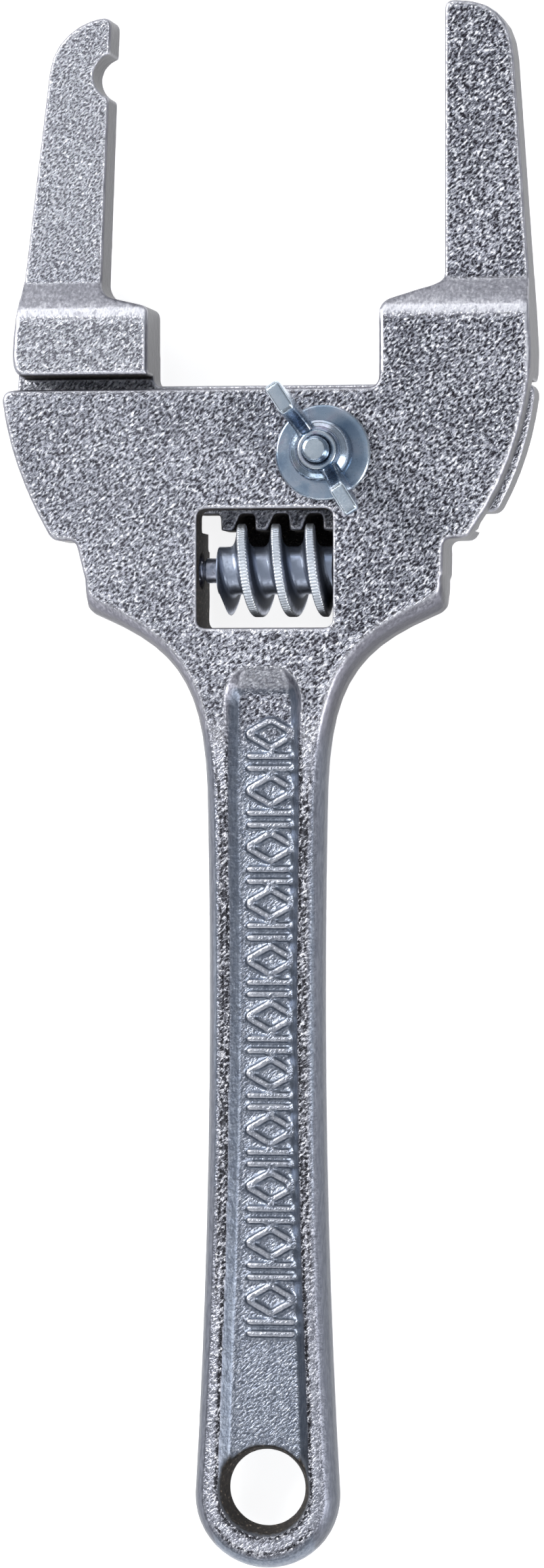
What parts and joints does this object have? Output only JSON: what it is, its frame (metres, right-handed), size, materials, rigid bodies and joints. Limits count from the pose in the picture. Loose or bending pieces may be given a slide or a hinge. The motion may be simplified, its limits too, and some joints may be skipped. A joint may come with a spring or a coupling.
{
  "type": "adjustable slip nut wrench",
  "caption": "Flat cast adjustable wrench with a fixed jaw, a worm-set sliding jaw, a wing nut clamp and a recessed handle with a hanging hole.",
  "frame": {"origin": "centre of the overall outline, on the plane that the back of the head rests on", "axes": "+Z out of the front face, +Y along the handle towards the jaws, +X towards the fixed jaw"},
  "size_m": [0.0982, 0.2884, 0.0297],
  "materials": {
    "plated_casting": "bright zinc plate over a rough as-cast skin",
    "worm_steel": "blue-grey plated turned steel",
    "bright_zinc": "bluish bright zinc"
  },
  "bodies": {
    "body": {"body": "plated_casting", "clamp_bolt": "bright_zinc", "worm_pin": "worm_steel"},
    "movable_jaw": {"movable_jaw": "plated_casting"},
    "worm": {"worm": "worm_steel"},
    "washer": {"washer": "bright_zinc"},
    "wing_nut": {"wing_nut": "bright_zinc"}
  },
  "joints": [
    {"name": "jaw_slide", "type": "slide", "parent": "body", "child": "movable_jaw", "axis": [-1, 0, 0], "range_m": [0, 0.02857]},
    {"name": "worm_turn", "type": "hinge", "parent": "body", "child": "worm", "pos_m": [0, 0.03975, 0.0087], "axis": [1, 0, 0], "range_deg": [0, 1620]},
    {"name": "washer_lift", "type": "slide", "parent": "body", "child": "washer", "axis": [0, 0, 1], "range_m": [0, 0.00212]},
    {"name": "wing_nut_turn", "type": "hinge", "parent": "washer", "child": "wing_nut", "pos_m": [0.0108, 0.0612, 0.0169], "axis": [0, 0, 1], "range_deg": [0, 720]}
  ],
  "couplings": [
    {"joint": "worm_turn", "follows": "jaw_slide", "rad_per_m": 989.48},
    {"joint": "washer_lift", "follows": "wing_nut_turn", "m_per_rad": 0.00016844}
  ]
}
